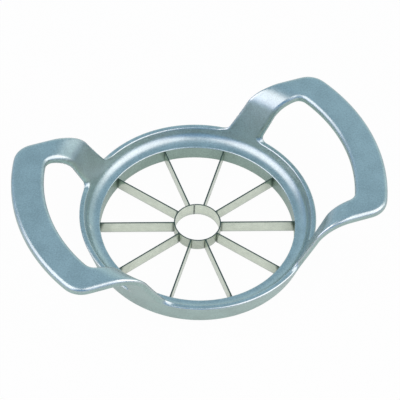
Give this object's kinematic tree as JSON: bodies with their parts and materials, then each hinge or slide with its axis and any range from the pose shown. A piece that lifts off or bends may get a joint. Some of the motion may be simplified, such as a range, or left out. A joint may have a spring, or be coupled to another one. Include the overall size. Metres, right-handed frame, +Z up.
{
  "type": "apple divider",
  "caption": "Fruit divider: a die-cast ring with raised loop handles, thin steel wedge blades inside it and a rolled corer strip at its centre.",
  "frame": {"origin": "on the ring's axis, in the plane of its flat base, which the cutter stands on", "axes": "+Z up along the ring's axis, out of the side that the handles rise to; +X along the two handles; +Y across them"},
  "size_m": [0.1694, 0.109, 0.0393],
  "materials": {
    "cast_silver": "satin silver lacquer over die-cast aluminium",
    "blade_steel": "satin rolled stainless strip"
  },
  "bodies": {
    "root": {"casting": "cast_silver", "corer_strip": "blade_steel", "blade_01": "blade_steel", "blade_02": "blade_steel", "blade_03": "blade_steel", "blade_04": "blade_steel", "blade_05": "blade_steel", "blade_06": "blade_steel", "blade_07": "blade_steel", "blade_08": "blade_steel", "blade_09": "blade_steel", "blade_10": "blade_steel"}
  },
  "joints": []
}
